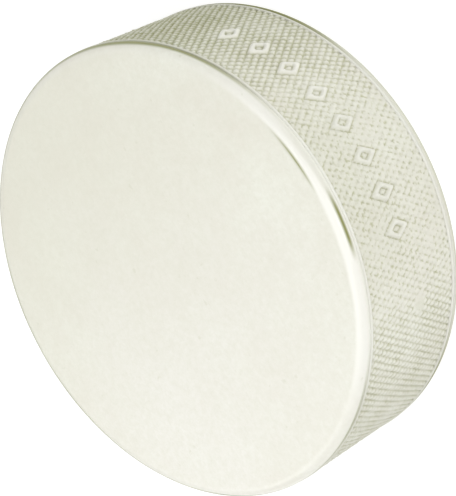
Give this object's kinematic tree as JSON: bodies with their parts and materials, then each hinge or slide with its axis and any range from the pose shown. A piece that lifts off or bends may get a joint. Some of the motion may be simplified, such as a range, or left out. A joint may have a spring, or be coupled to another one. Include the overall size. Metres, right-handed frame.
{
  "type": "hockey puck",
  "caption": "Solid moulded rubber disc for ice hockey, with flat faces, rounded rims and a knurled grip band around its side.",
  "frame": {"origin": "centre of the lower flat face, on the puck's axis", "axes": "+Z along the puck's axis, from the lower face to the upper face; X and Y lie in the lower face"},
  "size_m": [0.0762, 0.0762, 0.0254],
  "materials": {
    "puck_rubber": "satin moulded ivory rubber, glossier on the rounded rims, with a knurled grip band"
  },
  "bodies": {
    "root": {"puck_body": "puck_rubber"}
  },
  "joints": []
}
